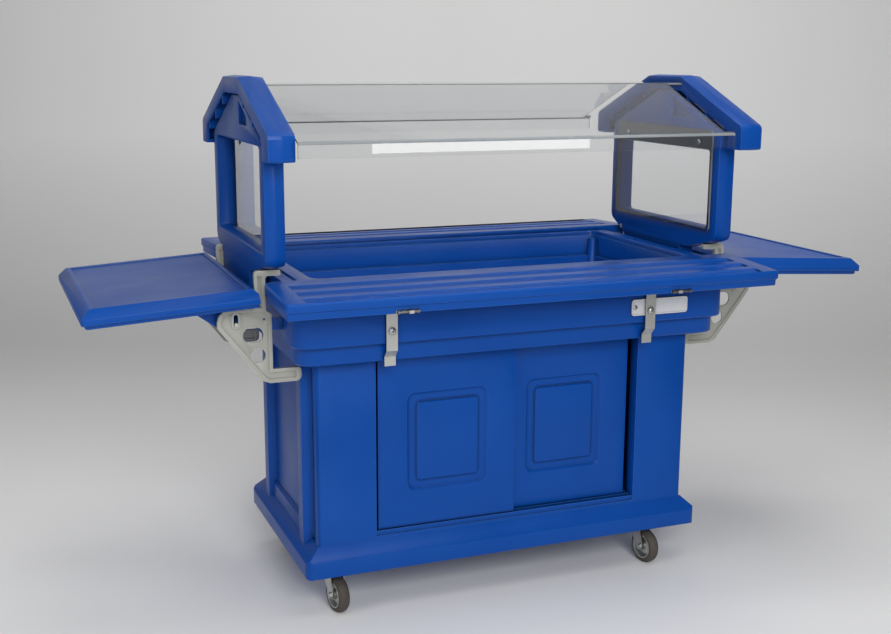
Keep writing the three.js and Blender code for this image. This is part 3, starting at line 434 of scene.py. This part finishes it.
# The doors' blue, with tighter and darker painted shade in their crevices.
DOOR = replace(BLUE, name="blue_door", reach=0.009, shade=0.08, deep=0.62)
CAST = Finish(
    "cast_bracket",
    (0.34, 0.34, 0.30),
    (0.40, 0.40, 0.355),
    (0.62, 0.62, 0.57),
    roughness=0.42,
    metallic=0.15,
    shade=0.3,
    bump=0.18,
    grain=420.0,
)
ZINC = Finish(
    "zinc_plate",
    (0.50, 0.51, 0.49),
    (0.58, 0.59, 0.56),
    (0.74, 0.75, 0.73),
    roughness=0.34,
    roughness_spread=0.16,
    metallic=0.9,
    bump=0.08,
    grain=900.0,
    edge_width=0.001,
)
DULL = Finish(
    "dull_steel",
    (0.10, 0.10, 0.10),
    (0.16, 0.16, 0.155),
    (0.5, 0.5, 0.49),
    roughness=0.4,
    metallic=0.8,
    edge_width=0.0008,
)
TYRE = Finish(
    "tyre_rubber",
    (0.045, 0.036, 0.028),
    (0.075, 0.062, 0.048),
    (0.11, 0.092, 0.072),
    roughness=0.72,
    bump=0.3,
    grain=500.0,
)
PLATE = Finish(
    "bare_plate",
    (0.60, 0.61, 0.63),
    (0.66, 0.67, 0.69),
    (0.90, 0.90, 0.89),
    roughness=0.3,
    bump=0.04,
    edge_width=0.001,
)
SHEET = ClearFinish("clear_sheet")
SAWN = Finish(
    "sawn_edge",
    (0.20, 0.22, 0.235),
    (0.24, 0.26, 0.275),
    (0.32, 0.34, 0.35),
    roughness=0.25,
    bump=0.05,
    edge_width=0.0005,
)
# Near-black finish for painted shade: the screws' cross recesses and the line round the plate's
# edge.
SHADE_BLACK = Finish(
    "screw_recess",
    (0.03, 0.03, 0.03),
    (0.05, 0.05, 0.05),
    (0.1, 0.1, 0.1),
    roughness=0.6,
    edge_width=0.0003,
)


# ---------------------------------------------------------------- mesh helpers
def new_piece(name: str, mesh: bmesh.types.BMesh, finish: Finish, body: str,
              smooth: bool = True) -> bpy.types.Object:
    """Turns a finished bmesh into a piece that rides on a body.

    Args:
        name: The piece's name.
        mesh: The bmesh, which is freed.
        finish: Its surface finish.
        body: The body that it rides on.
        smooth: Whether its faces shade smoothly.

    Returns:
        The new object.
    """
    data = bpy.data.meshes.new(name)
    for face in mesh.faces:
        face.smooth = smooth
    mesh.to_mesh(data)
    mesh.free()
    data.materials.append(finish.material())
    made = bpy.data.objects.new(name, data)
    bpy.context.scene.collection.objects.link(made)
    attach(made, body)
    LOG.info("piece %s on %s", name, body)
    return made


def joined_mesh(source: bpy.types.Object) -> bmesh.types.BMesh:
    """Copies a CAD node's mesh with its flat faces joined.

    Args:
        source: The CAD node's object.

    Returns:
        The copy.
    """
    mesh = bmesh.new()
    mesh.from_mesh(source.data)
    bmesh.ops.remove_doubles(mesh, verts=mesh.verts, dist=WELD_GAP)
    bmesh.ops.dissolve_limit(mesh, angle_limit=FLAT_ANGLE, verts=mesh.verts, edges=mesh.edges)
    return mesh


def soften(node: str, finish: Finish, width: float, angle: float = 30.0
           ) -> bpy.types.Object:
    """Stands a round-edged copy in for a CAD node.

    Args:
        node: The CAD node.
        finish: Its surface finish.
        width: Edge radius in metres.
        angle: Edges sharper than this many degrees are rounded.

    Returns:
        The round-edged piece.
    """
    source = frame["nodes"][node]
    mesh = joined_mesh(source)
    crease(mesh, math.radians(angle))
    made = new_piece(f"{node}_soft", mesh, finish, str(source["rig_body"]))
    bevel = made.modifiers.new("soft_edge", "BEVEL")
    bevel.width = width
    bevel.segments = EDGE_STEPS
    bevel.limit_method = "ANGLE"
    bevel.angle_limit = math.radians(angle)
    bevel.harden_normals = True
    bevel.use_clamp_overlap = True
    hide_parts(node)
    return made


def crease(mesh: bmesh.types.BMesh, limit: float) -> None:
    """Keeps the shallow folds between broad faces crisp.

    Args:
        mesh: The moulding's bmesh.
        limit: Folds steeper than this angle in radians are rounded later.
    """
    for edge in mesh.edges:
        if len(edge.link_faces) != 2:
            continue
        broad = min(face.calc_area() for face in edge.link_faces) > BROAD_FACE
        if broad and FOLD_LEAST < edge.calc_face_angle() < limit:
            edge.smooth = False


def dress(node: str, finish: Finish | ClearFinish) -> None:
    """Gives a CAD node its finish.

    Args:
        node: The CAD node.
        finish: The finish to assign.
    """
    data = frame["nodes"][node].data
    data.materials.clear()
    data.materials.append(finish.material())
    LOG.info("finish %s on %s", finish.name, node)


def sheet_piece(node: str, edge_width: float) -> None:
    """Stands a clear sheet with grey sawn edges in for a CAD sheet.

    Args:
        node: The CAD node.
        edge_width: Faces narrower than this, in metres, are sawn edges.
    """
    source = frame["nodes"][node]
    mesh = joined_mesh(source)
    for face in mesh.faces:
        if mean_width(face) < edge_width:
            face.material_index = 1
    made = new_piece(f"{node}_sheet", mesh, SHEET, str(source["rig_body"]), False)
    made.data.materials.append(SAWN.material())
    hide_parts(node)


def mean_width(face: bmesh.types.BMFace) -> float:
    """Mean width of a long face, from its area and perimeter."""
    return 2.0 * face.calc_area() / face.calc_perimeter()


def along(origin: Vector, axis: Vector) -> Matrix:
    """A frame whose Z runs along an axis.

    Args:
        origin: The frame's origin.
        axis: The direction of its Z.

    Returns:
        The placing matrix.
    """
    return Matrix.Translation(origin) @ axis.to_track_quat("Z", "Y").to_matrix().to_4x4()


def turned(profile: Sequence[tuple[float, float]], place: Matrix, steps: int
           ) -> bmesh.types.BMesh:
    """Spins a closed profile of (radius, height) into a ring.

    Args:
        profile: The corners of the section.
        place: Where the ring's axis frame goes.
        steps: Steps round the ring.

    Returns:
        The ring's bmesh.
    """
    mesh = bmesh.new()
    corners = [mesh.verts.new((radius, 0.0, height)) for radius, height in profile]
    edges = [
        mesh.edges.new((corner, corners[(index + 1) % len(corners)]))
        for index, corner in enumerate(corners)
    ]
    bmesh.ops.spin(
        mesh,
        geom=corners + edges,
        cent=(0, 0, 0),
        axis=(0, 0, 1),
        dvec=(0, 0, 0),
        angle=math.tau,
        steps=steps,
        use_merge=True,
        use_normal_flip=False,
        use_duplicate=False,
    )
    bmesh.ops.remove_doubles(mesh, verts=mesh.verts, dist=RING_WELD)
    bmesh.ops.recalc_face_normals(mesh, faces=mesh.faces)
    bmesh.ops.transform(mesh, matrix=place, verts=mesh.verts)
    return mesh


def cross_screw(name: str, place: Matrix, radius: float, rise: float) -> None:
    """Adds a domed screw head on a washer, with a near-black cross as painted shade for its
    recess, on the cart's body.

    Args:
        name: The screw's name.
        place: Frame of the head, its Z pointing out.
        radius: The head's radius.
        rise: The head's height.
    """
    pin, washer_rise, dome_foot, dome_shoulder = 0.0004, 0.2, 0.72, 0.66
    dome = [
        (pin, 0.0),
        (radius, 0.0),
        (radius, rise * washer_rise),
        (radius * dome_foot, rise * 0.25),
        (radius * dome_shoulder, rise * 0.7),
        (radius * 0.4, rise * 0.95),
        (pin, rise),
    ]
    new_piece(f"{name}_head", turned(dome, place, SCREW_STEPS), ZINC, "cart")
    # Painted shade: near-black bars in the dome's top stand in for the shaded cross recess.
    slot_length, slot_width, slot_depth = radius * 0.9, radius * 0.2, rise * 0.3
    mesh = bmesh.new()
    for turn in (CROSS_TURN, CROSS_TURN + math.pi / 2):
        bar = bmesh.ops.create_cube(mesh, size=1.0)["verts"]
        bmesh.ops.scale(mesh, vec=(slot_length, slot_width, slot_depth), verts=bar)
        bmesh.ops.rotate(mesh, cent=(0, 0, 0), matrix=Matrix.Rotation(turn, 3, "Z"), verts=bar)
        bmesh.ops.translate(mesh, vec=(0, 0, rise * 0.87), verts=bar)
    bmesh.ops.transform(mesh, matrix=place, verts=mesh.verts)
    new_piece(f"{name}_recess", mesh, SHADE_BLACK, "cart", smooth=False)


# ---------------------------------------------------------------- sub-assemblies
@dataclass
class Mouldings:
    """Every blue moulding, with its rounded edges."""

    radii: dict[str, float] = field(
        default_factory=lambda: {
            "cabinet": 0.003,
            "counter": 0.003,
            "door_left": 0.0004,
            "door_right": 0.0004,
            "tray_rail_front": 0.0009,
            "tray_rail_back": 0.0009,
            "end_table_left": 0.0018,
            "end_table_right": 0.0018,
            "end_frame_left": 0.003,
            "end_frame_right": 0.003,
            "roof_cap_left": 0.002,
            "roof_cap_right": 0.002,
        }
    )
    crisp: tuple[str, ...] = ("door_left", "door_right", "roof_cap_left", "roof_cap_right")
    crisp_angle: float = 12.0
    broad_angle: float = 30.0

    def build(self) -> None:
        """Builds the round-edged mouldings."""
        for node, radius in self.radii.items():
            angle = self.crisp_angle if node in self.crisp else self.broad_angle
            finish = DOOR if node.startswith("door") else BLUE
            soften(node, finish, radius, angle=angle)


@dataclass
class Glazing:
    """Canopy and side panes, with the panes' screws."""

    screw_y: float = 0.203
    screw_z: float = 1.235
    head_radius: float = 0.0085
    head_rise: float = 0.004
    sawn_width: float = 0.0055

    def build(self) -> None:
        """Dresses the sheets and adds the screws."""
        for node in ("canopy", "side_pane_left", "side_pane_right"):
            sheet_piece(node, self.sawn_width)
        for side in Side:
            self.screws(side)

    def screws(self, side: Side) -> None:
        """Adds one pane's two screws.

        Args:
            side: The end of the cart.
        """
        low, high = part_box(f"side_pane_{side.name.lower()}")
        face = high.x if side is Side.LEFT else low.x
        for sign, spot in ((-1, "front"), (1, "back")):
            origin = Vector((face, sign * self.screw_y, self.screw_z))
            place = along(origin, Vector((-side.value, 0, 0)))
            cross_screw(
                f"pane_screw_{side.name.lower()}_{spot}", place, self.head_radius, self.head_rise
            )


@dataclass
class Metalwork:
    """Brackets, straps, bolts, rods, arms and tracks."""

    bracket_radius: float = 0.001
    face_sink: float = 0.0005
    face_share: float = 0.85
    face_rise: float = 0.002

    def build(self) -> None:
        """Dresses the metal pieces and the door tracks."""
        for corner in CORNERS:
            soften(f"end_bracket_{corner}", CAST, self.bracket_radius)
            for kind in ("rail_strap", "strap_bolt", "rail_arm"):
                dress(f"{kind}_{corner}", ZINC)
            dress(f"rail_cross_rod_{corner}", DULL)
            self.bolt_face(corner)
        for node in ("drain_fitting", "table_rod_left", "table_rod_right"):
            dress(node, ZINC)
        for node in ("door_track_lower", "door_track_upper"):
            dress(node, BLUE)

    def bolt_face(self, corner: str) -> None:
        """Lays a domed face, with a near-black cross as painted shade for its recess, on a strap
        bolt's head.

        Args:
            corner: The bolt's corner of the cart.
        """
        low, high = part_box(f"strap_bolt_{corner}")
        middle = (low + high) / 2
        out = -1.0 if corner.startswith("front") else 1.0
        tip = low.y if out < 0 else high.y
        origin = Vector((middle.x, tip - out * self.face_sink, middle.z))
        radius = (high.x - low.x) / 2 * self.face_share
        cross_screw(f"bolt_{corner}", along(origin, Vector((0, out, 0))), radius, self.face_rise)


@dataclass
class BlankPlate:
    """The bare plate with a raised rim on the front band."""

    low: tuple[float, float] = (0.319, 0.779)
    high: tuple[float, float] = (0.495, 0.824)
    face_y: float = -0.376
    thickness: float = 0.002
    rim: float = 0.0038
    rim_rise: float = 0.0022
    corner: float = 0.008
    rivet_reach: float = 0.076
    rivet_radius: float = 0.0065
    rivet_rise_share: float = 1 / 3
    gasket_over: float = 0.0016
    gasket_rise: float = 0.0008
    corner_steps: int = 4

    def build(self) -> None:
        """Builds the plate, a near-black slab round its edge as painted shadow, and its rivet."""
        centre = Vector(
            ((self.low[0] + self.high[0]) / 2, self.face_y, (self.low[1] + self.high[1]) / 2)
        )
        # Painted shadow: a near-black slab a little wider than the plate shows as a dark line
        # round its edge.
        edge_shadow = self.blank(self.gasket_over, self.gasket_rise)
        self.stand(edge_shadow, centre)
        new_piece("plate_gasket", edge_shadow, SHADE_BLACK, "cart", smooth=False)
        mesh = self.blank(0.0, self.thickness + self.rim_rise)
        top = [face for face in mesh.faces if face.calc_center_median().z > self.thickness]
        top = [face for face in top if abs(face.normal.z) > 0.9]
        bmesh.ops.inset_region(mesh, faces=top, thickness=self.rim / 2, depth=0.0)
        bmesh.ops.inset_region(mesh, faces=top, thickness=self.rim / 2, depth=-self.rim_rise)
        bmesh.ops.recalc_face_normals(mesh, faces=mesh.faces)
        self.stand(mesh, centre)
        new_piece("blank_plate", mesh, PLATE, "cart", smooth=False)
        spot = centre + Vector((-self.rivet_reach, -self.thickness, 0))
        rise = self.rivet_radius * self.rivet_rise_share
        cross_screw("plate_rivet", along(spot, Vector((0, -1, 0))), self.rivet_radius, rise)

    def blank(self, over: float, height: float) -> bmesh.types.BMesh:
        """Makes a round-cornered slab about the origin.

        Args:
            over: How far it reaches past the plate's edge.
            height: Its thickness.

        Returns:
            The slab's bmesh, standing on Z = 0.
        """
        mesh = bmesh.new()
        bmesh.ops.create_grid(mesh, x_segments=1, y_segments=1, size=0.5)
        width = self.high[0] - self.low[0] + 2 * over
        tall = self.high[1] - self.low[1] + 2 * over
        bmesh.ops.scale(mesh, vec=(width, tall, 1.0), verts=mesh.verts)
        bmesh.ops.bevel(
            mesh,
            geom=mesh.verts[:],
            offset=self.corner,
            segments=self.corner_steps,
            profile=0.5,
            affect="VERTICES",
            material=-1,
        )
        raised = bmesh.ops.extrude_face_region(mesh, geom=mesh.faces[:])
        lifted = [item for item in raised["geom"] if isinstance(item, bmesh.types.BMVert)]
        bmesh.ops.translate(mesh, vec=(0, 0, height), verts=lifted)
        bmesh.ops.recalc_face_normals(mesh, faces=mesh.faces)
        return mesh

    def stand(self, mesh: bmesh.types.BMesh, centre: Vector) -> None:
        """Stands a slab upright against the front band.

        Args:
            mesh: The slab's bmesh.
            centre: The middle of the plate on the band.
        """
        turn = along(centre, Vector((0, -1, 0))).to_3x3().to_4x4()
        bmesh.ops.transform(mesh, matrix=Matrix.Translation(centre) @ turn, verts=mesh.verts)


@dataclass
class Casters:
    """Four swivel casters with a tyre on a pressed rim."""

    radius: float = 0.050
    rim_radius: float = 0.036
    half_width: float = 0.016
    hub_radius: float = 0.013
    bore: float = 0.006
    tread_edge: float = 0.006
    tread_shoulder: float = 0.0015
    bead: float = 0.004
    rim_lip: float = 0.003
    rim_gap: float = 0.0001
    steps: int = 48

    def build(self) -> None:
        """Dresses forks, plates and axles and builds the wheels."""
        joints = {joint["name"]: joint for joint in frame["joints"]}
        for corner in CORNERS:
            for kind in ("caster_plate", "caster_fork", "caster_axle"):
                dress(f"{kind}_{corner}", ZINC)
            joint = joints[f"roll_{corner}"]
            place = along(Vector(joint["pos_m"]), Vector(joint["axis"]))
            self.wheel(corner, place)

    def wheel(self, corner: str, place: Matrix) -> None:
        """Builds one wheel in two pieces.

        Args:
            corner: The caster's corner of the cart.
            place: The wheel's axle frame.
        """
        half = self.half_width
        outer, rim = self.radius, self.rim_radius
        tread = [
            (rim, -half * 0.92),
            (rim + self.bead, -half),
            (outer - self.tread_edge, -half * 0.9),
            (outer - self.tread_shoulder, -half * 0.6),
            (outer, -half * 0.25),
            (outer, half * 0.25),
            (outer - self.tread_shoulder, half * 0.6),
            (outer - self.tread_edge, half * 0.9),
            (rim + self.bead, half),
            (rim, half * 0.92),
        ]
        disc = [
            (self.bore, -half),
            (self.hub_radius, -half),
            (self.hub_radius, -half * 0.55),
            (rim - 2 * self.rim_lip, -half * 0.3),
            (rim - self.rim_lip, -half * 0.95),
            (rim - self.rim_gap, -half * 0.95),
            (rim - self.rim_gap, half * 0.95),
            (rim - self.rim_lip, half * 0.95),
            (rim - 2 * self.rim_lip, half * 0.3),
            (self.hub_radius, half * 0.55),
            (self.hub_radius, half),
            (self.bore, half),
        ]
        body = f"wheel_{corner}"
        tyre = new_piece(
            f"tyre_{corner}", turned(tread, place, self.steps), TYRE, body
        )
        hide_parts(f"caster_wheel_{corner}")
        rim_piece = new_piece(
            f"rim_{corner}", turned(disc, place, self.steps), ZINC, body
        )
        rim_piece.data.set_sharp_from_angle(angle=RIM_CREASE)


# ---------------------------------------------------------------- studio
@dataclass(frozen=True)
class Lamp:
    """A rectangular soft lamp, in metres and watts."""

    name: str
    place: Point
    aim: Point
    width: float
    height: float
    power: float

    def build(self) -> None:
        """Hangs the lamp and turns it to its aim."""
        data = bpy.data.lights.new(self.name, "AREA")
        data.shape = "RECTANGLE"
        data.size = self.width
        data.size_y = self.height
        data.energy = self.power
        made = bpy.data.objects.new(self.name, data)
        place = Vector(self.place)
        facing = (Vector(self.aim) - place).to_track_quat("-Z", "Y")
        made.matrix_world = Matrix.Translation(place) @ facing.to_matrix().to_4x4()
        bpy.context.scene.collection.objects.link(made)


LAMPS = (
    Lamp("top_lamp", (0.3, -0.8, 3.6), (0.0, 0.0, 0.6), 2.6, 2.6, 38.0),
    Lamp("fill_lamp", (-1.0, -5.0, 2.8), (0.0, 0.0, 0.7), 2.6, 2.0, 178.0),
    Lamp("left_lamp", (-3.6, -1.6, 2.2), (0.0, 0.0, 0.8), 1.8, 1.8, 20.0),
    Lamp("paper_lamp", (0.6, 1.4, 4.4), (2.2, 4.2, 1.6), 3.0, 1.2, 80.0),
    Lamp("lip_lamp", (0.065, -0.9, 1.2265), (0.065, 0.0, 1.2265), 0.69, 0.046, 0.41),
)


@dataclass
class Studio:
    """Camera, sweep, surrounding light and lamps."""

    position: Point = (-1.37079, -3.27096, 1.47640)
    yaw: float = 21.5432
    pitch: float = -11.9798
    roll: float = 0.2690
    focal_share: float = 1234.374 / 891.0
    sensor: float = 36.0
    # Sweep tones with painted light and shade: floor lit more on the left, shade in the bend,
    # wall greyer in its middle.
    floor_left: Colour = (0.98, 0.975, 0.96)
    floor_right: Colour = (0.78, 0.775, 0.765)
    bend_colour: Colour = (0.50, 0.498, 0.495)
    corner_colour: Colour = (0.70, 0.698, 0.695)
    middle_colour: Colour = (0.62, 0.618, 0.615)
    sweep_near: float = 9.0
    sweep_far: float = 2.0
    sweep_bend: float = 2.4
    sweep_height: float = 6.0
    sweep_half: float = 9.0
    sweep_steps: int = 16
    floor_fade: tuple[float, float] = (-1.4, 1.8)
    bend_fade: tuple[float, float] = (-0.4, 2.5)
    wall_fade: tuple[float, float] = (0.1, 1.0)
    middle_reach: float = 2.6
    room_colour: Colour = (0.18, 0.182, 0.188)
    seen_colour: Colour = (0.47, 0.47, 0.47)

    def build(self) -> None:
        """Builds camera, sweep, world and lamps."""
        self.camera()
        self.sweep()
        self.world()
        for lamp in LAMPS:
            lamp.build()

    def camera(self) -> None:
        """Places the camera at the photograph's view."""
        yaw, pitch, roll = map(math.radians, (self.yaw, self.pitch, self.roll))
        forward = Vector(
            (math.sin(yaw) * math.cos(pitch), math.cos(yaw) * math.cos(pitch), math.sin(pitch))
        )
        right = forward.cross(Vector((0, 0, 1))).normalized()
        up = right.cross(forward)
        tilted = math.cos(roll) * right + math.sin(roll) * up
        top = -math.sin(roll) * right + math.cos(roll) * up
        data = bpy.data.cameras.new("view")
        data.sensor_width = self.sensor
        data.lens = self.sensor * self.focal_share
        camera = bpy.data.objects.new("view", data)
        turn = Matrix((tilted, top, -forward)).transposed().to_4x4()
        camera.matrix_world = Matrix.Translation(Vector(self.position)) @ turn
        bpy.context.scene.collection.objects.link(camera)
        bpy.context.scene.camera = camera

    def sweep(self) -> None:
        """Stands a seamless grey sweep under and behind the cart."""
        mesh = bmesh.new()
        corners = [(-self.sweep_near, 0.0), (self.sweep_far, 0.0)]
        for step in range(1, self.sweep_steps + 1):
            angle = math.pi / 2 * step / self.sweep_steps
            corners.append(
                (
                    self.sweep_far + self.sweep_bend * math.sin(angle),
                    self.sweep_bend * (1 - math.cos(angle)),
                )
            )
        corners.append((self.sweep_far + self.sweep_bend, self.sweep_height))
        edge = [mesh.verts.new((-self.sweep_half, y, z)) for y, z in corners]
        edges = [mesh.edges.new(pair) for pair in zip(edge, edge[1:])]
        side = bmesh.ops.extrude_edge_only(mesh, edges=edges)["geom"]
        moved = [item for item in side if isinstance(item, bmesh.types.BMVert)]
        bmesh.ops.translate(mesh, vec=(2 * self.sweep_half, 0, 0), verts=moved)
        bmesh.ops.recalc_face_normals(mesh, faces=mesh.faces)
        for face in mesh.faces:
            face.smooth = True
        data = bpy.data.meshes.new("sweep")
        mesh.to_mesh(data)
        mesh.free()
        data.materials.append(self.paper())
        sweep = bpy.data.objects.new("sweep", data)
        sweep.matrix_world = Matrix.Rotation(-math.radians(self.yaw), 4, "Z")
        bpy.context.scene.collection.objects.link(sweep)

    def paper(self) -> bpy.types.Material:
        """The sweep's grey: a pale floor with painted light on its left, painted shade in the
        bend and a wall painted greyer in its middle.

        Returns:
            The sweep's material.
        """
        made = bpy.data.materials.new("grey_paper")
        made.use_nodes = True
        graph = Graph(made.node_tree)
        place = graph.add("ShaderNodeTexCoord").outputs["Object"]
        parts = graph.add("ShaderNodeSeparateXYZ", Vector=place)
        across = graph.ramp(parts.outputs["X"], *self.floor_fade)
        near = graph.blend(across, opaque(self.floor_left), opaque(self.floor_right))
        back = graph.ramp(parts.outputs["Y"], *self.bend_fade)
        low = graph.blend(back, near, opaque(self.bend_colour))
        aside = graph.add("ShaderNodeMath", Value=parts.outputs["X"])
        aside.operation = "ABSOLUTE"
        middle = graph.ramp(aside.outputs[0], self.middle_reach, 0.0)
        high = graph.blend(middle, opaque(self.corner_colour), opaque(self.middle_colour))
        upper = graph.ramp(parts.outputs["Z"], *self.wall_fade)
        tone = graph.blend(upper, low, high)
        shader = graph.add("ShaderNodeBsdfPrincipled", Base_Color=tone, Roughness=0.7)
        graph.add("ShaderNodeOutputMaterial", Surface=shader.outputs["BSDF"])
        return made

    def world(self) -> None:
        """Sets the soft surrounding light, which the camera sees lighter than it shines."""
        world = bpy.data.worlds.new("soft_room")
        bpy.context.scene.world = world
        world.use_nodes = True
        graph = Graph(world.node_tree)
        path = graph.add("ShaderNodeLightPath")
        tint = graph.blend(
            path.outputs["Is Camera Ray"], opaque(self.room_colour), opaque(self.seen_colour)
        )
        sky = graph.add("ShaderNodeBackground", Color=tint, Strength=1.0)
        graph.add("ShaderNodeOutputWorld", Surface=sky.outputs["Background"])


def main() -> None:
    """Builds the studio and every sub-assembly."""
    logging.basicConfig(level=logging.INFO, format="%(message)s")
    bpy.context.scene.view_settings.view_transform = "Standard"
    Studio().build()
    Mouldings().build()
    Glazing().build()
    Metalwork().build()
    BlankPlate().build()
    Casters().build()
    bpy.context.view_layer.update()


if __name__ == "__main__":
    main()
